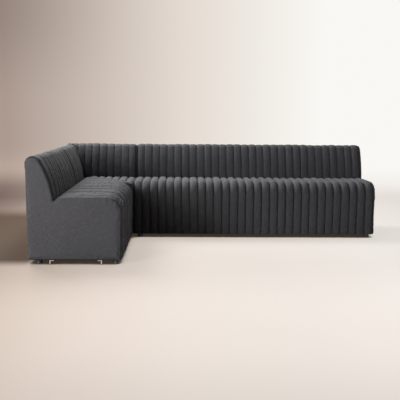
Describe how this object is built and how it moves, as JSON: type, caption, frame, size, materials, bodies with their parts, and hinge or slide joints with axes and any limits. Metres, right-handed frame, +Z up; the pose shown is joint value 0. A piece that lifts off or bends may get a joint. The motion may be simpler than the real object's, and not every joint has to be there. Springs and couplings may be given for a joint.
{
  "type": "sectional sofa",
  "caption": "L-shaped channel-tufted banquette sofa: a corner unit with a long run and a shorter return hooked to it under the base, in charcoal fabric on short black feet.",
  "frame": {"origin": "centre of the footprint box of the whole sofa, on the floor", "axes": "+X along the long run towards its free end, +Y towards the wall behind the long run, +Z up; the sofa faces -Y and the return runs forward at -X"},
  "size_m": [2.863, 1.797, 0.8],
  "materials": {
    "charcoal_fabric": "fine heathered weave, matte",
    "black_cloth": "thin non-woven cloth",
    "foam": "open-cell foam",
    "felt": "pressed felt",
    "plywood": "raw plywood",
    "timber": "planed softwood",
    "spring_steel": "drawn wire, oiled",
    "zinc_steel": "bright zinc plate",
    "black_plastic": "moulded, matte"
  },
  "bodies": {
    "corner_module": {"corner_back_boards": "plywood", "corner_back_foams": "foam", "corner_back_top_rails": "timber", "corner_connector_blocks": "timber", "corner_corner_post": "timber", "corner_deck_pad": "felt", "corner_dust_cover": "black_cloth", "corner_fasteners": "zinc_steel", "corner_feet": "black_plastic", "corner_joint_panels": "charcoal_fabric", "corner_left_back_cover": "charcoal_fabric", "corner_outside_backs": "charcoal_fabric", "corner_pin_brackets": "zinc_steel", "corner_rails": "timber", "corner_rear_back_cover": "charcoal_fabric", "corner_ribs": "plywood", "corner_seat_cover": "charcoal_fabric", "corner_seat_foam": "foam", "corner_spring_clips": "spring_steel", "corner_springs": "spring_steel"},
    "long_module": {"long_back_board": "plywood", "long_back_cover": "charcoal_fabric", "long_back_foam": "foam", "long_back_top_rail": "timber", "long_connector_blocks": "timber", "long_deck_pad": "felt", "long_dust_cover": "black_cloth", "long_end_panel": "charcoal_fabric", "long_fasteners": "zinc_steel", "long_feet": "black_plastic", "long_front_foam": "foam", "long_hook_plates": "zinc_steel", "long_joint_panel": "charcoal_fabric", "long_outside_back": "charcoal_fabric", "long_rails": "timber", "long_ribs": "plywood", "long_seat_cover": "charcoal_fabric", "long_seat_foam": "foam", "long_spring_clips": "spring_steel", "long_springs": "spring_steel"},
    "return_module": {"return_back_board": "plywood", "return_back_cover": "charcoal_fabric", "return_back_foam": "foam", "return_back_top_rail": "timber", "return_connector_blocks": "timber", "return_deck_pad": "felt", "return_dust_cover": "black_cloth", "return_end_panel": "charcoal_fabric", "return_fasteners": "zinc_steel", "return_feet": "black_plastic", "return_front_foam": "foam", "return_hook_plates": "zinc_steel", "return_joint_panel": "charcoal_fabric", "return_outside_back": "charcoal_fabric", "return_rails": "timber", "return_ribs": "plywood", "return_seat_cover": "charcoal_fabric", "return_seat_foam": "foam", "return_spring_clips": "spring_steel", "return_springs": "spring_steel"}
  },
  "joints": [
    {"name": "return_lift", "type": "slide", "parent": "corner_module", "child": "return_module", "axis": [0, 0, 1], "range_m": [0, 0.05]},
    {"name": "long_lift", "type": "slide", "parent": "corner_module", "child": "long_module", "axis": [0, 0, 1], "range_m": [0, 0.05]}
  ]
}
